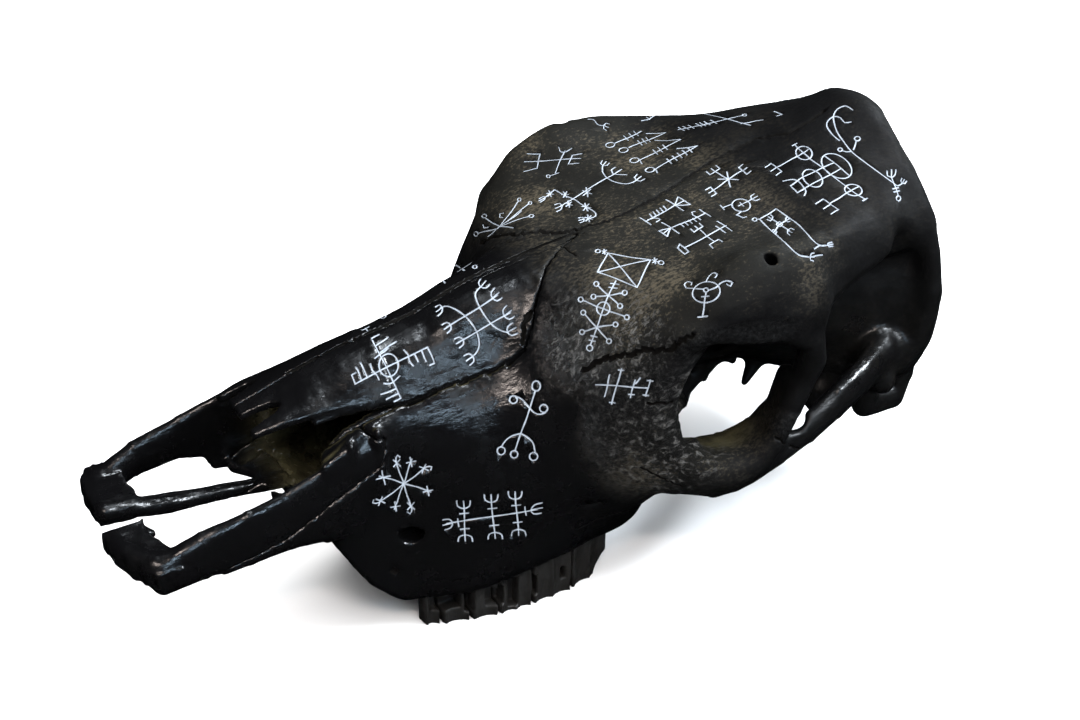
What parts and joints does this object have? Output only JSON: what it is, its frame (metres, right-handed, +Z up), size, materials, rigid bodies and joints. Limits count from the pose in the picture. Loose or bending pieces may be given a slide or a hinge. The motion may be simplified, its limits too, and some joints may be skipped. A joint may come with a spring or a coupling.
{
  "type": "carved cow skull",
  "caption": "Black-stained cow skull without its lower jaw, standing on its cheek teeth, with open eye sockets and nose, and thin pale line signs cut into the bone.",
  "frame": {"origin": "middle of the skull's outer box in length and width, on the surface that the cheek teeth stand on", "axes": "+X from the snout to the back of the head, +Y to the animal's right, +Z up from the grinding faces to the brow"},
  "size_m": [0.4452, 0.2122, 0.2079],
  "materials": {
    "stained_bone": "black stain on dry bone, glossy on the cheeks and matte brown on the brow",
    "glossy_bone": "black stain on dense bone, glossy",
    "stained_tooth": "black stain on worn teeth, matte"
  },
  "bodies": {
    "root": {"cranium": "stained_bone", "nasal_bone_left": "glossy_bone", "nasal_bone_right": "glossy_bone", "incisive_bone_left": "glossy_bone", "incisive_bone_right": "glossy_bone", "premolar_2_left": "stained_tooth", "premolar_2_right": "stained_tooth", "premolar_3_left": "stained_tooth", "premolar_3_right": "stained_tooth", "premolar_4_left": "stained_tooth", "premolar_4_right": "stained_tooth", "molar_1_left": "stained_tooth", "molar_1_right": "stained_tooth", "molar_2_left": "stained_tooth", "molar_2_right": "stained_tooth", "molar_3_left": "stained_tooth", "molar_3_right": "stained_tooth"}
  },
  "joints": []
}
